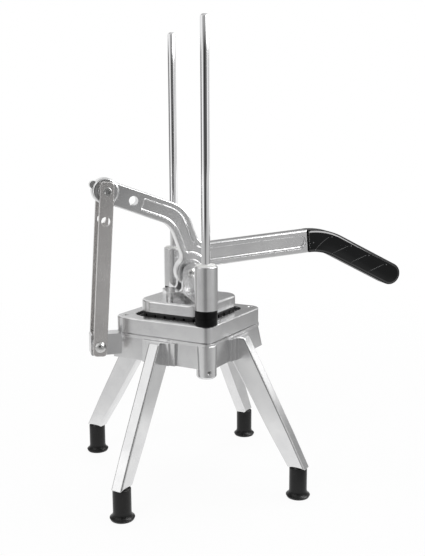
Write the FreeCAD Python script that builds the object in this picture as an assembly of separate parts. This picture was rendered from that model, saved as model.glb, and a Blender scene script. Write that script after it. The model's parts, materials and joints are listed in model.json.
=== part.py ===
import FreeCAD
import Part
import math
import os

# French fry cutter: a square cast body stands corner-first on four spread legs.
# Two guide rods carry the pusher, and a bent lever with a pair of link bars drives it down.
# X runs along the lever, Y through both guide rods, Z up. Lengths in mm, angles in degrees.

# Body
FRAME_WALL = 14.5            # blade frame's wall beside its opening
OPENING_MARGIN = 5.05        # opening's wall past the outermost cells
SIDE_CORNER_R = 14.0         # corners on the X axis
ROD_CORNER_R = 9.5           # corners on the Y axis, round the rods
FRAME_TOP_Z = 199.8
FRAME_HEIGHT = 17.8
FRAME_EDGE_R = 1.6
OPENING_CORNER_R = 17.0
SEAM_GAP = 1.2               # groove between blade frame and base, outside the lip
LIP_HEIGHT = 3.0
LIP_PROUD = 0.6              # lip past the blade frame's faces
SKIRT_HEIGHT = 25.6
SKIRT_INSET = 0.2            # skirt's top inside the blade frame's faces
SKIRT_DRAFT = 0.9            # how far the skirt's foot stands out past its top
SKIRT_FOOT_CORNER_R = 3.0    # X corners sharpen towards the foot
SKIRT_WALL = 6.5
SEAT_OVERLAP = 4.0           # how far the base reaches in under the blade frame, past the seam

# Legs and feet
FOOT_SPACING = 200.0         # between foot centres along X and along Y
LEG_WIDTH = 14.0
LEG_PAD_HALF = 21.5
LEG_PAD_PROUD = 3.2
LEG_STEP_HALF = 15.0         # raised middle of the pad
LEG_STEP_PROUD = 2.0         # past the pad
LEG_PAD_DROP = 0.3           # pad top below the lip
LEG_EDGE_R = 2.0
LEG_ROOT_PROUD = 12.2        # leg's outer edge past the skirt, where it leaves the body
LEG_ROOT_SINK = 5.3          # leg's inner edge behind the skirt's face
LEG_KNEE_Z = 73.0
LEG_KNEE_OUT = 132.5
LEG_KNEE_IN = 106.3
LEG_END_DEPTH = 21.0         # radial depth of the leg where it stands on the foot
LEG_KNEE_R = 60.0
FOOT_HEIGHT = 35.0
FOOT_TUBE_R = 10.0
FOOT_FLANGE_R = 14.0
FOOT_SOLE_R = 12.6
FOOT_SOLE_EDGE_R = 0.8
FOOT_FLANGE_EDGE_R = 1.5
FOOT_FLARE_R = 5.0
FOOT_TOP_EDGE_R = 1.0
FOOT_FLANGE_Z = 1.6
FOOT_FLARE_TOP_Z = 9.0
SPIGOT_R = 6.5
SPIGOT_LENGTH = 22.0
SPIGOT_CLEARANCE = 0.1
LEG_BOLT_R = 3.0
LEG_BOLT_HEAD_R = 5.0
LEG_BOLT_HEAD = 4.0
LEG_BOLT_DEPTH = 13.0        # how far a leg bolt reaches past the wall into the leg
LEG_BOLT_PITCH = 12.0        # between the two bolts of one leg
HOLE_CLEARANCE = 0.15

# Guide rods
ROD_INSET = 13.46            # rod's centre inside the frame's sharp corner
ROD_R = 4.75
ROD_TOP_Z = 524.6
ROD_DOME = 3.6
SOCKET_R = 11.2
SOCKET_DROP = 11.2           # socket below the skirt
SOCKET_FLOOR = 3.0
SOCKET_EDGE_R = 3.5
ROD_SEAT_CLEARANCE = 0.05
RUNNING_CLEARANCE = 0.05
ROD_PASS_CLEARANCE = 0.4     # rod through the blade frame
SET_SCREW_R = 2.5
SET_SCREW_KEY = 2.5
SET_SCREW_DROP = 2.7         # below the skirt's foot
SET_SCREW_SINK = 0.5
BUMPER_R = 12.3
BUMPER_HEIGHT = 17.2
BUMPER_EDGE_R = 1.2
STOP_GAP = 0.3

# Blades
CUT_SIZE = 12.7              # pitch of the blade grid, the width of one fry
CELLS = 7                    # cells along each side of the grid
BLADE_THICKNESS = 0.8
BLADE_HEIGHT = 7.0
BLADE_LAYER_GAP = 0.4
BLADE_BELOW_TOP = 2.2        # upper blades' edge below the frame's face
BLADE_SEAT = 8.0             # how far a blade reaches into the frame's wall
BLADE_SLOT_CLEARANCE = 0.1
BLADE_PIN_R = 1.4
BLADE_PIN_INSET = 4.6        # pin's line behind the opening's wall
BLADE_PIN_OVERHANG = 4.0     # pin past the outermost blade

# Frame screws
FRAME_SCREW_INSET = 15.0     # inside the frame's sharp corner
FRAME_SCREW_R = 2.5
FRAME_SCREW_HEAD_R = 3.9
FRAME_SCREW_SINK = 0.4
FRAME_SCREW_LENGTH = 30.0
SCREW_BOSS_R = 8.0
SCREW_BOSS_DEPTH = 20.0
SCREW_SLOT = 0.9
SCREW_SLOT_HALF = 2.7

# Pusher
PUSHER_MARGIN = 0.55         # plate's edge past the outermost cells
PUSHER_CORNER_R = 20.0
PUSHER_THICKNESS = 13.0
PUSHER_EDGE_R = 2.4
FINGER_FLANGE = 2.8
FINGER_FLANGE_INSET = 0.9
FINGER_GAP = 0.9             # each side, between a finger and its blades
FINGER_BELOW_BLADES = 5.0
FINGER_TAPER = 0.35
HEAD_BOSS_R = 12.6
HEAD_BOSS_HEIGHT = 47.7
HEAD_BOSS_EDGE_R = 1.0
BUSH_R = 7.2
BUSH_FLANGE_R = 10.6
BUSH_FLANGE = 1.6
HEAD_PAD_HALF_X = 29.5
HEAD_PAD_HEIGHT = 9.0
HEAD_PAD_R = 7.0
EAR_R = 11.3
EAR_THICKNESS = 6.5
EAR_FOOT_R = 5.0
ARM_FOOT_HALF = 10.0
ARM_FOOT_HEIGHT = 6.0
GUSSET_THICKNESS = 4.5
GUSSET_CURVE_R = 31.4        # hollow of the gusset from foot to boss
GUSSET_SINK = 0.6            # its lowest point lies this far inside the foot
GUSSET_LAND = 0.8            # flat on its upper end
PAD_SCREW_X = 24.0
PAD_SCREW_R = 3.0
PAD_SCREW_HEAD_R = 5.0
PAD_SCREW_HEAD = 4.5
PAD_SCREW_BITE = 7.0

# Linkage: pivots in the plane of the lever
PIVOT_R = 4.75
LOWER_PIVOT_X = -107.9
LOWER_PIVOT_Z = 168.5
UPPER_PIVOT_X = -95.5
UPPER_PIVOT_Z = 342.5
LEVER_PIVOT_ABOVE_PLATE = 30.2   # lever pivot above the pusher plate's top
SECOND_HOLE_PITCH = 32.7     # from the upper pivot, along the bars and along the lever
SECOND_HOLE_R = 5.2
LINK_WIDTH = 15.4
LINK_THICKNESS = 6.0
LINK_OVERHANG = 10.8
LINK_CORNER_R = 4.2
LINK_EDGE_R = 1.0
SIDE_CLEARANCE = 0.3
LUG_OVERHANG = 9.3           # past the lower pivot
LUG_THICKNESS = 18.0
LUG_BOSS_R = 8.6
LUG_BOTTOM_Z = 156.5
LUG_CORNER_R = 2.0
DOME_HEAD_R = 6.5
DOME_HEAD = 3.4
NUT_R = 7.2                  # to its corners
THREAD_R = 4.0
NUT_HEIGHT = 6.0
UPPER_HEAD_R = 4.9
UPPER_HEAD = 1.4
UPPER_KEY = 5.5
LEVER_HEAD_R = 5.6
LEVER_HEAD = 2.4

# Lever
LEVER_THICKNESS = 18.0
ARM_SLOPE = -20.0
ARM_HALF = 12.9
NECK_SLOPE = -70.0
NECK_HALF = 12.0
NECK_REACH = 87.3            # upper pivot to where arm and neck centre lines meet
HANDLE_SLOPE = 5.0
HANDLE_HALF = 13.6
HANDLE_RISE = 17.5           # handle's centre line above the lever pivot
BEND_OUTER_R = 36.0
BEND_INNER_R = 24.0
CROTCH_R = 13.0
HUB_R = 17.0
HUB_BLEND_R = 8.0
HUB_SIDE_PLAY = 0.3
LINK_HUB_R = 14.8
LINK_HUB_EDGE_R = 2.4
LINK_HUB_PROUD = 1.5         # disc above the arm's faces
LINK_BOSS_R = 8.6
LINK_BOSS_LENGTH = 28.0      # lug and lever alike, between the bars
NUB_R = 4.5
NUB_REACH = 14.5             # nub's centre from the upper pivot
NUB_SLOPE = 151.0
NUB_THICKNESS = 10.0
RIM = 5.8
POCKET_DEPTH = 5.0
POCKET_HUB_R = 21.5
POCKET_HOLE_R = 11.0
POCKET_CORNER_R = 3.0
POCKET_END_X = 142.5
POCKET_END_R = 7.4
POCKET_FLOOR_R = 2.4
LEVER_EDGE_R = 2.0
LEVER_BUSH_R = 6.6
GRIP_START_X = 145.0
GRIP_HALF = 12.9
GRIP_THICKNESS = 23.0
GRIP_BEND_R = 68.0
GRIP_BEND = 32.5
GRIP_STRAIGHT = 94.0
GRIP_TIP_R = 10.0
GRIP_EDGE_R = 6.0
TANG_HALF = 8.0
TANG_THICKNESS = 10.0
TANG_SHORT = 16.0            # tang ends this far inside the grip's tip

# Places worked out from the sizes above
SQRT2 = math.sqrt(2.0)
FLATS_TO_CORNERS = 1 / math.sqrt(3.0)    # hexagon's width over its flats to its corner radius
FINE = 0.01                  # how closely edges are told apart
GRID_HALF = CELLS * CUT_SIZE / 2
OPENING_HALF = GRID_HALF + OPENING_MARGIN
PUSHER_HALF = GRID_HALF + PUSHER_MARGIN
BODY_HALF = OPENING_HALF + FRAME_WALL
LIP_HALF = BODY_HALF + LIP_PROUD
SKIRT_TOP_HALF = BODY_HALF - SKIRT_INSET
LEG_ROOT_OUT = SKIRT_TOP_HALF + LEG_ROOT_PROUD
LEG_ROOT_IN = SKIRT_TOP_HALF - LEG_ROOT_SINK
FRAME_SCREW_X = BODY_HALF * SQRT2 - FRAME_SCREW_INSET
FRAME_BOTTOM_Z = FRAME_TOP_Z - FRAME_HEIGHT
LIP_TOP_Z = FRAME_BOTTOM_Z - SEAM_GAP
SKIRT_TOP_Z = LIP_TOP_Z - LIP_HEIGHT
SKIRT_BOTTOM_Z = SKIRT_TOP_Z - SKIRT_HEIGHT
ROD_Y = BODY_HALF * SQRT2 - ROD_INSET
ROD_BOTTOM_Z = SKIRT_BOTTOM_Z - SOCKET_DROP + SOCKET_FLOOR
FOOT_RADIUS = FOOT_SPACING / SQRT2
BUMPER_TOP_Z = FRAME_TOP_Z + BUMPER_HEIGHT
PLATE_TOP_Z = BUMPER_TOP_Z + STOP_GAP
PLATE_BOTTOM_Z = PLATE_TOP_Z - PUSHER_THICKNESS
UPPER_BLADE_TOP_Z = FRAME_TOP_Z - BLADE_BELOW_TOP
LOWER_BLADE_TOP_Z = UPPER_BLADE_TOP_Z - BLADE_HEIGHT - BLADE_LAYER_GAP
LOWER_BLADE_BOTTOM_Z = LOWER_BLADE_TOP_Z - BLADE_HEIGHT
LEVER_PIVOT_Z = PLATE_TOP_Z + LEVER_PIVOT_ABOVE_PLATE
HEAD_TOP_Z = PLATE_TOP_Z + HEAD_BOSS_HEIGHT
LEVER_HALF = LEVER_THICKNESS / 2
HUB_HALF = LEVER_HALF + HUB_SIDE_PLAY * 2
EAR_INNER_Y = HUB_HALF + HUB_SIDE_PLAY
EAR_OUTER_Y = EAR_INNER_Y + EAR_THICKNESS
LINK_BOSS_HALF = LINK_BOSS_LENGTH / 2
LINK_DISC_HALF = LEVER_HALF + LINK_HUB_PROUD
LINK_INNER_Y = LINK_BOSS_HALF + SIDE_CLEARANCE
LINK_OUTER_Y = LINK_INNER_Y + LINK_THICKNESS
UP = FreeCAD.Vector(0, 0, 1)
BACK = FreeCAD.Vector(0, 1, 0)
AXIS = FreeCAD.Vector(0, 0, 0)


def vec(x, y, z):
    return FreeCAD.Vector(x, y, z)


def heading(angle):
    """Unit direction in the lever's plane, as (x, z)."""
    return math.cos(math.radians(angle)), math.sin(math.radians(angle))


def along(point, angle, distance, sideways=0.0):
    """Point moved along a heading, and sideways to its left."""
    dx, dz = heading(angle)
    return point[0] + dx * distance - dz * sideways, point[1] + dz * distance + dx * sideways


def crossing(point_a, angle_a, point_b, angle_b):
    """Where two lines in the lever's plane meet."""
    ax, az = heading(angle_a)
    bx, bz = heading(angle_b)
    gap_x, gap_z = point_b[0] - point_a[0], point_b[1] - point_a[1]
    reach = (gap_x * bz - gap_z * bx) / (ax * bz - az * bx)
    return point_a[0] + ax * reach, point_a[1] + az * reach


def box(x0, x1, y0, y1, z0, z1):
    return Part.makeBox(x1 - x0, y1 - y0, z1 - z0, vec(x0, y0, z0))


def post(radius, z0, z1, x=0.0, y=0.0):
    """Upright cylinder."""
    return Part.makeCylinder(radius, z1 - z0, vec(x, y, z0), UP)


def pin(radius, y0, y1, x, z):
    """Cylinder along Y, as every pivot of the linkage."""
    return Part.makeCylinder(radius, y1 - y0, vec(x, y0, z), BACK)


def diagonal(shape, turns=0):
    """Turn a shape made square to the axes so that it stands corner-first."""
    turned = shape.copy()
    turned.rotate(AXIS, UP, 45 + 90 * turns)
    return turned


def outline(corners, place):
    """Closed wire through corners (a, b, radius); place() puts (a, b) into space."""
    count = len(corners)
    edges = []
    previous_end = None
    first_start = None
    for i in range(count):
        a, b, radius = corners[i]
        before, after = corners[i - 1], corners[(i + 1) % count]
        to_before = FreeCAD.Vector(before[0] - a, before[1] - b, 0).normalize()
        to_after = FreeCAD.Vector(after[0] - a, after[1] - b, 0).normalize()
        corner = FreeCAD.Vector(a, b, 0)
        half_turn = to_before.getAngle(to_after) / 2
        reach = radius / math.tan(half_turn)
        start = corner + to_before * reach
        end = corner + to_after * reach
        if previous_end is not None and (start - previous_end).Length > 1e-6:
            edges.append(Part.LineSegment(place(previous_end), place(start)).toShape())
        if radius > 0:
            inward = (to_before + to_after).normalize()
            middle = corner + inward * (radius / math.sin(half_turn) - radius)
            edges.append(Part.Arc(place(start), place(middle), place(end)).toShape())
        previous_end = end
        first_start = start if first_start is None else first_start
    if (first_start - previous_end).Length > 1e-6:
        edges.append(Part.LineSegment(place(previous_end), place(first_start)).toShape())
    return Part.Wire(edges)


def side_slab(corners, y0, y1):
    """Plate lying in the lever's plane, from y0 to y1."""
    wire = outline(corners, lambda p: vec(p.x, y0, p.y))
    return Part.Face(wire).extrude(vec(0, y1 - y0, 0))


def square_wire(half, side_r, rod_r, z):
    """Square standing corner-first: side_r rounds its X corners, rod_r its Y corners."""
    reach = half * SQRT2
    corners = [(reach, 0, side_r), (0, reach, rod_r), (-reach, 0, side_r), (0, -reach, rod_r)]
    return outline(corners, lambda p: vec(p.x, p.y, z))


def square_slab(half, side_r, rod_r, z0, z1):
    return Part.Face(square_wire(half, side_r, rod_r, z0)).extrude(vec(0, 0, z1 - z0))


def hexagon(radius, y0, y1, x, z):
    """Hexagonal prism along Y; radius is to its corners."""
    corners = [(x + radius * math.cos(math.radians(60 * k)),
                z + radius * math.sin(math.radians(60 * k)), 0) for k in range(6)]
    return side_slab(corners, y0, y1)


def hexagon_up(radius, z0, z1, x, y):
    corners = [(x + radius * math.cos(math.radians(60 * k)),
                y + radius * math.sin(math.radians(60 * k)), 0) for k in range(6)]
    wire = outline(corners, lambda p: vec(p.x, p.y, z0))
    return Part.Face(wire).extrude(vec(0, 0, z1 - z0))


def level_edges(shape, z, tolerance=FINE):
    """Edges of a shape that lie at one height."""
    found = []
    for edge in shape.Edges:
        span = edge.BoundBox
        if abs(span.ZMin - z) < tolerance and abs(span.ZMax - z) < tolerance:
            found.append(edge)
    return found


def edges_in_plane(shape, y, tolerance=FINE):
    """Edges of a shape that lie in the plane at y."""
    found = []
    for edge in shape.Edges:
        span = edge.BoundBox
        if abs(span.YMin - y) < tolerance and abs(span.YMax - y) < tolerance:
            found.append(edge)
    return found


def turned_profile(points, x=0.0, y=0.0):
    """Body of revolution about a vertical axis; points are (radius, z, corner radius)."""
    wire = outline(points, lambda p: vec(p.x, 0, p.y))
    body = Part.Face(wire).revolve(AXIS, UP, 360)
    body.translate(vec(x, y, 0))
    return body


# Body castings


def skirt_solid(inset=0.0):
    """Tapered outside of the skirt, or its inside when inset by the wall."""
    top_r = OPENING_CORNER_R if inset else SIDE_CORNER_R
    foot_r = OPENING_CORNER_R if inset else SKIRT_FOOT_CORNER_R
    rod_r = OPENING_CORNER_R if inset else ROD_CORNER_R
    top = square_wire(SKIRT_TOP_HALF - inset, top_r, rod_r, SKIRT_TOP_Z)
    foot = square_wire(SKIRT_TOP_HALF + SKIRT_DRAFT - inset, foot_r, rod_r, SKIRT_BOTTOM_Z)
    return Part.makeLoft([foot, top], True, True)


def leg_bolt_heights():
    middle = (SKIRT_TOP_Z + SKIRT_BOTTOM_Z) / 2
    return [middle - LEG_BOLT_PITCH / 2, middle + LEG_BOLT_PITCH / 2]


def skirt_half_at(z):
    """Axis to the skirt's outer face at a height."""
    return SKIRT_TOP_HALF + SKIRT_DRAFT * (SKIRT_TOP_Z - z) / SKIRT_HEIGHT


def leg_bolt(turns, z, radius_extra=0.0, head_extra=0.0):
    """One leg bolt, seated on the skirt's inner wall and pointing out along its leg."""
    seat = skirt_half_at(z) - SKIRT_WALL - LEG_BOLT_HEAD / 2
    out = vec(1, 0, 0)
    shank = Part.makeCylinder(LEG_BOLT_R + radius_extra, SKIRT_WALL + LEG_BOLT_HEAD / 2 + LEG_BOLT_DEPTH,
                              vec(seat, 0, z), out)
    head = Part.makeCylinder(LEG_BOLT_HEAD_R + head_extra, LEG_BOLT_HEAD, vec(seat - LEG_BOLT_HEAD / 2, 0, z), out)
    return diagonal(shank.fuse(head), turns)


def set_screw_z():
    return SKIRT_BOTTOM_Z - SET_SCREW_DROP


def base_casting():
    base = skirt_solid()
    lip = square_slab(LIP_HALF, SIDE_CORNER_R, ROD_CORNER_R, SKIRT_TOP_Z, LIP_TOP_Z)
    seat = square_slab(LIP_HALF - SEAT_OVERLAP, SIDE_CORNER_R, ROD_CORNER_R, LIP_TOP_Z, FRAME_BOTTOM_Z)
    base = base.fuse([lip, seat])
    base = base.cut(skirt_solid(SKIRT_WALL))
    base = base.cut(square_slab(SKIRT_TOP_HALF - SKIRT_WALL, OPENING_CORNER_R, OPENING_CORNER_R,
                                SKIRT_TOP_Z, FRAME_BOTTOM_Z))
    sockets = [post(SOCKET_R, SKIRT_BOTTOM_Z - SOCKET_DROP, SKIRT_TOP_Z, 0, side * ROD_Y) for side in (-1, 1)]
    screw_boss_z = FRAME_BOTTOM_Z - SCREW_BOSS_DEPTH
    bosses = [post(SCREW_BOSS_R, screw_boss_z, FRAME_BOTTOM_Z, side * FRAME_SCREW_X, 0) for side in (-1, 1)]
    lug_boss = pin(LUG_BOSS_R, -LINK_BOSS_HALF, LINK_BOSS_HALF, LOWER_PIVOT_X, LOWER_PIVOT_Z)
    base = base.fuse(sockets + bosses + [link_lug(), lug_boss])
    base = base.removeSplitter()
    base = base.makeFillet(SOCKET_EDGE_R, level_edges(base, SKIRT_BOTTOM_Z - SOCKET_DROP))
    for side in (-1, 1):
        base = base.cut(post(ROD_R + ROD_SEAT_CLEARANCE, ROD_BOTTOM_Z, FRAME_TOP_Z, 0, side * ROD_Y))
        base = base.cut(frame_screw_shank(side))
        base = base.cut(set_screw_body(side, False))
    for turns in range(4):
        for z in leg_bolt_heights():
            base = base.cut(leg_bolt(turns, z, HOLE_CLEARANCE))
    return base.cut(pin(PIVOT_R, -LINK_BOSS_HALF, LINK_BOSS_HALF, LOWER_PIVOT_X, LOWER_PIVOT_Z))


def link_lug():
    """Lug on the body's -X corner that carries the lower pivot."""
    end_x = LOWER_PIVOT_X - LUG_OVERHANG
    root_x = -FRAME_SCREW_X
    corners = [(end_x, LUG_BOTTOM_Z, LUG_CORNER_R), (root_x, LUG_BOTTOM_Z, 0), (root_x, LIP_TOP_Z, 0),
               (end_x, LIP_TOP_Z, LUG_CORNER_R)]
    return side_slab(corners, -LUG_THICKNESS / 2, LUG_THICKNESS / 2)


def blade_positions():
    return [-GRID_HALF + k * CUT_SIZE for k in range(CELLS + 1)]


def blade_reach():
    return OPENING_HALF + BLADE_SEAT


def blade_strip(offset, top_z, extra=0.0):
    """One blade across the opening, made square to the axes; extra widens it into its slot."""
    reach = blade_reach() + extra
    half = BLADE_THICKNESS / 2 + extra
    return box(-reach, reach, offset - half, offset + half, top_z - BLADE_HEIGHT, top_z + extra)


def blade_pin_run(top_z, side, extra=0.0):
    """Round pin through the ends of one layer of blades."""
    x = side * (OPENING_HALF + BLADE_PIN_INSET)
    reach = GRID_HALF + BLADE_PIN_OVERHANG + extra
    return Part.makeCylinder(BLADE_PIN_R + extra, 2 * reach, vec(x, -reach, top_z - BLADE_HEIGHT / 2), BACK)


def blade_frame():
    frame = square_slab(BODY_HALF, SIDE_CORNER_R, ROD_CORNER_R, FRAME_BOTTOM_Z, FRAME_TOP_Z)
    frame = frame.makeFillet(FRAME_EDGE_R, level_edges(frame, FRAME_TOP_Z))
    frame = frame.cut(square_slab(OPENING_HALF, OPENING_CORNER_R, OPENING_CORNER_R, FRAME_BOTTOM_Z, FRAME_TOP_Z))
    half = BLADE_THICKNESS / 2 + BLADE_SLOT_CLEARANCE
    reach = blade_reach() + BLADE_SLOT_CLEARANCE
    channel = BLADE_PIN_R + BLADE_SLOT_CLEARANCE
    pin_x = OPENING_HALF + BLADE_PIN_INSET
    pin_reach = GRID_HALF + BLADE_PIN_OVERHANG + BLADE_SLOT_CLEARANCE
    for turns, top_z in ((0, UPPER_BLADE_TOP_Z), (1, LOWER_BLADE_TOP_Z)):
        slots = [box(-reach, reach, y - half, y + half, FRAME_BOTTOM_Z, top_z + BLADE_SLOT_CLEARANCE)
                 for y in blade_positions()]
        pin_top = top_z - BLADE_HEIGHT / 2 + channel
        grooves = [box(side * pin_x - channel, side * pin_x + channel, -pin_reach, pin_reach,
                       FRAME_BOTTOM_Z, pin_top) for side in (-1, 1)]
        cutter = slots[0].fuse(slots[1:] + grooves)
        frame = frame.cut(diagonal(cutter, turns))
    for side in (-1, 1):
        frame = frame.cut(post(ROD_R + ROD_PASS_CLEARANCE, FRAME_BOTTOM_Z, FRAME_TOP_Z, 0, side * ROD_Y))
        frame = frame.cut(frame_screw_shank(side, HOLE_CLEARANCE))
        frame = frame.cut(frame_screw_head(side, HOLE_CLEARANCE, FRAME_SCREW_SINK))
    return frame


def blade_layer(turns, top_z):
    """All blades of one direction, each with two pin holes."""
    blades = []
    for y in blade_positions():
        strip = blade_strip(y, top_z)
        for side in (-1, 1):
            strip = strip.cut(blade_pin_run(top_z, side))
        blades.append(diagonal(strip, turns))
    return Part.makeCompound(blades)


def blade_pins():
    pins = []
    for turns, top_z in ((0, UPPER_BLADE_TOP_Z), (1, LOWER_BLADE_TOP_Z)):
        pins += [diagonal(blade_pin_run(top_z, side), turns) for side in (-1, 1)]
    return Part.makeCompound(pins)


def frame_screw_shank(side, extra=0.0):
    top_z = FRAME_TOP_Z - FRAME_SCREW_SINK
    return post(FRAME_SCREW_R + extra, top_z - FRAME_SCREW_LENGTH, top_z, side * FRAME_SCREW_X, 0)


def frame_screw_head(side, extra=0.0, above=0.0):
    """Countersunk head, sunk a little below the frame's face."""
    top_z = FRAME_TOP_Z - FRAME_SCREW_SINK
    depth = FRAME_SCREW_HEAD_R - FRAME_SCREW_R
    cone = Part.makeCone(FRAME_SCREW_R + extra, FRAME_SCREW_HEAD_R + extra, depth,
                         vec(side * FRAME_SCREW_X, 0, top_z - depth), UP)
    if above:
        cone = cone.fuse(post(FRAME_SCREW_HEAD_R + extra, top_z, top_z + above, side * FRAME_SCREW_X, 0))
    return cone


def frame_screw(side):
    x = side * FRAME_SCREW_X
    top_z = FRAME_TOP_Z - FRAME_SCREW_SINK
    screw = frame_screw_shank(side).fuse(frame_screw_head(side))
    half, reach = SCREW_SLOT / 2, SCREW_SLOT_HALF
    along_x = box(x - reach, x + reach, -half, half, top_z - SCREW_SLOT, top_z)
    along_y = box(x - half, x + half, -reach, reach, top_z - SCREW_SLOT, top_z)
    return screw.cut(along_x.fuse(along_y))


# Legs, feet and rods


def leg_profile():
    """Side view of a leg as (distance from the axis, z, corner radius)."""
    end_z = FOOT_HEIGHT
    half_end = LEG_END_DEPTH / 2
    top_z = SKIRT_TOP_Z - LEG_PAD_DROP
    root_z = SKIRT_BOTTOM_Z
    return [(SKIRT_TOP_HALF - SKIRT_WALL, top_z, 0), (LEG_ROOT_OUT, top_z, LEG_EDGE_R),
            (LEG_KNEE_OUT, LEG_KNEE_Z, LEG_KNEE_R), (FOOT_RADIUS + half_end, end_z, 0),
            (FOOT_RADIUS - half_end, end_z, 0), (LEG_KNEE_IN, LEG_KNEE_Z, LEG_KNEE_R),
            (LEG_ROOT_IN, root_z, 0), (SKIRT_TOP_HALF - SKIRT_WALL, root_z, 0)]


def leg(turns):
    half = LEG_WIDTH / 2
    top_z = SKIRT_TOP_Z - LEG_PAD_DROP
    wire = outline(leg_profile(), lambda p: vec(p.x, -half, p.y))
    blade = Part.Face(wire).extrude(vec(0, LEG_WIDTH, 0))
    outer = [e for e in blade.Edges if min(v.X for v in e.Vertexes) > LEG_ROOT_OUT - LEG_EDGE_R
             and abs(abs(e.BoundBox.YMin) - half) < FINE and abs(e.BoundBox.YMax - e.BoundBox.YMin) < FINE]
    blade = blade.makeFillet(LEG_EDGE_R, outer)
    pad_out = SKIRT_TOP_HALF + SKIRT_DRAFT / 2 + LEG_PAD_PROUD
    pad = box(SKIRT_TOP_HALF, pad_out, -LEG_PAD_HALF, LEG_PAD_HALF, SKIRT_BOTTOM_Z, top_z)
    step = box(SKIRT_TOP_HALF, pad_out + LEG_STEP_PROUD, -LEG_STEP_HALF, LEG_STEP_HALF, SKIRT_BOTTOM_Z, top_z)
    spigot = post(SPIGOT_R, FOOT_HEIGHT - SPIGOT_LENGTH, FOOT_HEIGHT + LEG_EDGE_R, FOOT_RADIUS, 0)
    shape = diagonal(blade.fuse([pad, step, spigot]), turns)
    shape = shape.cut(skirt_solid())
    for z in leg_bolt_heights():
        shape = shape.cut(leg_bolt(turns, z))
    return shape.removeSplitter()


def foot_centre(turns):
    angle = math.radians(45 + 90 * turns)
    return FOOT_RADIUS * math.cos(angle), FOOT_RADIUS * math.sin(angle)


def rubber_foot(turns):
    bore = SPIGOT_R + SPIGOT_CLEARANCE
    bore_z = FOOT_HEIGHT - SPIGOT_LENGTH - SPIGOT_CLEARANCE
    profile = [(0, 0, 0), (FOOT_SOLE_R, 0, FOOT_SOLE_EDGE_R),
               (FOOT_FLANGE_R, FOOT_FLANGE_Z, FOOT_FLANGE_EDGE_R), (FOOT_TUBE_R, FOOT_FLARE_TOP_Z, FOOT_FLARE_R),
               (FOOT_TUBE_R, FOOT_HEIGHT, FOOT_TOP_EDGE_R),
               (bore, FOOT_HEIGHT, 0), (bore, bore_z, 0), (0, bore_z, 0)]
    x, y = foot_centre(turns)
    return turned_profile(profile, x, y)


def guide_rod(side):
    profile = [(0, ROD_BOTTOM_Z, 0), (ROD_R, ROD_BOTTOM_Z, 0), (ROD_R, ROD_TOP_Z, ROD_DOME), (0, ROD_TOP_Z, 0)]
    return turned_profile(profile, 0, side * ROD_Y)


def set_screw_body(side, keyed=True):
    """Grub screw in the socket's outer side, with its tip against the rod."""
    tip = ROD_Y + ROD_R + ROD_SEAT_CLEARANCE
    end = ROD_Y + SOCKET_R - SET_SCREW_SINK
    low, high = (-end, -tip) if side < 0 else (tip, end)
    body = pin(SET_SCREW_R, low, high, 0, set_screw_z())
    if keyed:
        depth = (end - tip) / 2
        key_low = low if side < 0 else high - depth
        body = body.cut(hexagon(SET_SCREW_KEY * FLATS_TO_CORNERS, key_low, key_low + depth, 0, set_screw_z()))
        return body
    outside = side * (ROD_Y + 2 * SOCKET_R)
    return body.fuse(pin(SET_SCREW_R, min(low, outside), max(high, outside), 0, set_screw_z()))


def bumper(side):
    bore = ROD_R + 2 * RUNNING_CLEARANCE
    profile = [(bore, FRAME_TOP_Z, 0), (BUMPER_R, FRAME_TOP_Z, BUMPER_EDGE_R),
               (BUMPER_R, BUMPER_TOP_Z, BUMPER_EDGE_R), (bore, BUMPER_TOP_Z, 0)]
    return turned_profile(profile, 0, side * ROD_Y)


# Pusher


def head_arm(side):
    """Low foot from an ear out to its boss, with a thin hollow-curved gusset up the boss."""
    boss_inside = side * (ROD_Y - HEAD_BOSS_R / 2)
    ear_inside = side * (EAR_OUTER_Y - EAR_THICKNESS / 2)
    foot_top = PLATE_TOP_Z + ARM_FOOT_HEIGHT
    foot = box(-ARM_FOOT_HALF, ARM_FOOT_HALF, min(ear_inside, boss_inside), max(ear_inside, boss_inside),
               PLATE_TOP_Z, foot_top)
    curve_y = side * (ROD_Y - HEAD_BOSS_R - GUSSET_LAND - GUSSET_CURVE_R)
    curve_z = foot_top + GUSSET_CURVE_R - GUSSET_SINK
    half = GUSSET_THICKNESS / 2
    gusset = box(-half, half, min(curve_y, boss_inside), max(curve_y, boss_inside), foot_top, curve_z)
    hollow = Part.makeCylinder(GUSSET_CURVE_R, GUSSET_THICKNESS, vec(-half, curve_y, curve_z), vec(1, 0, 0))
    return foot.fuse(gusset.cut(hollow))


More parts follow.
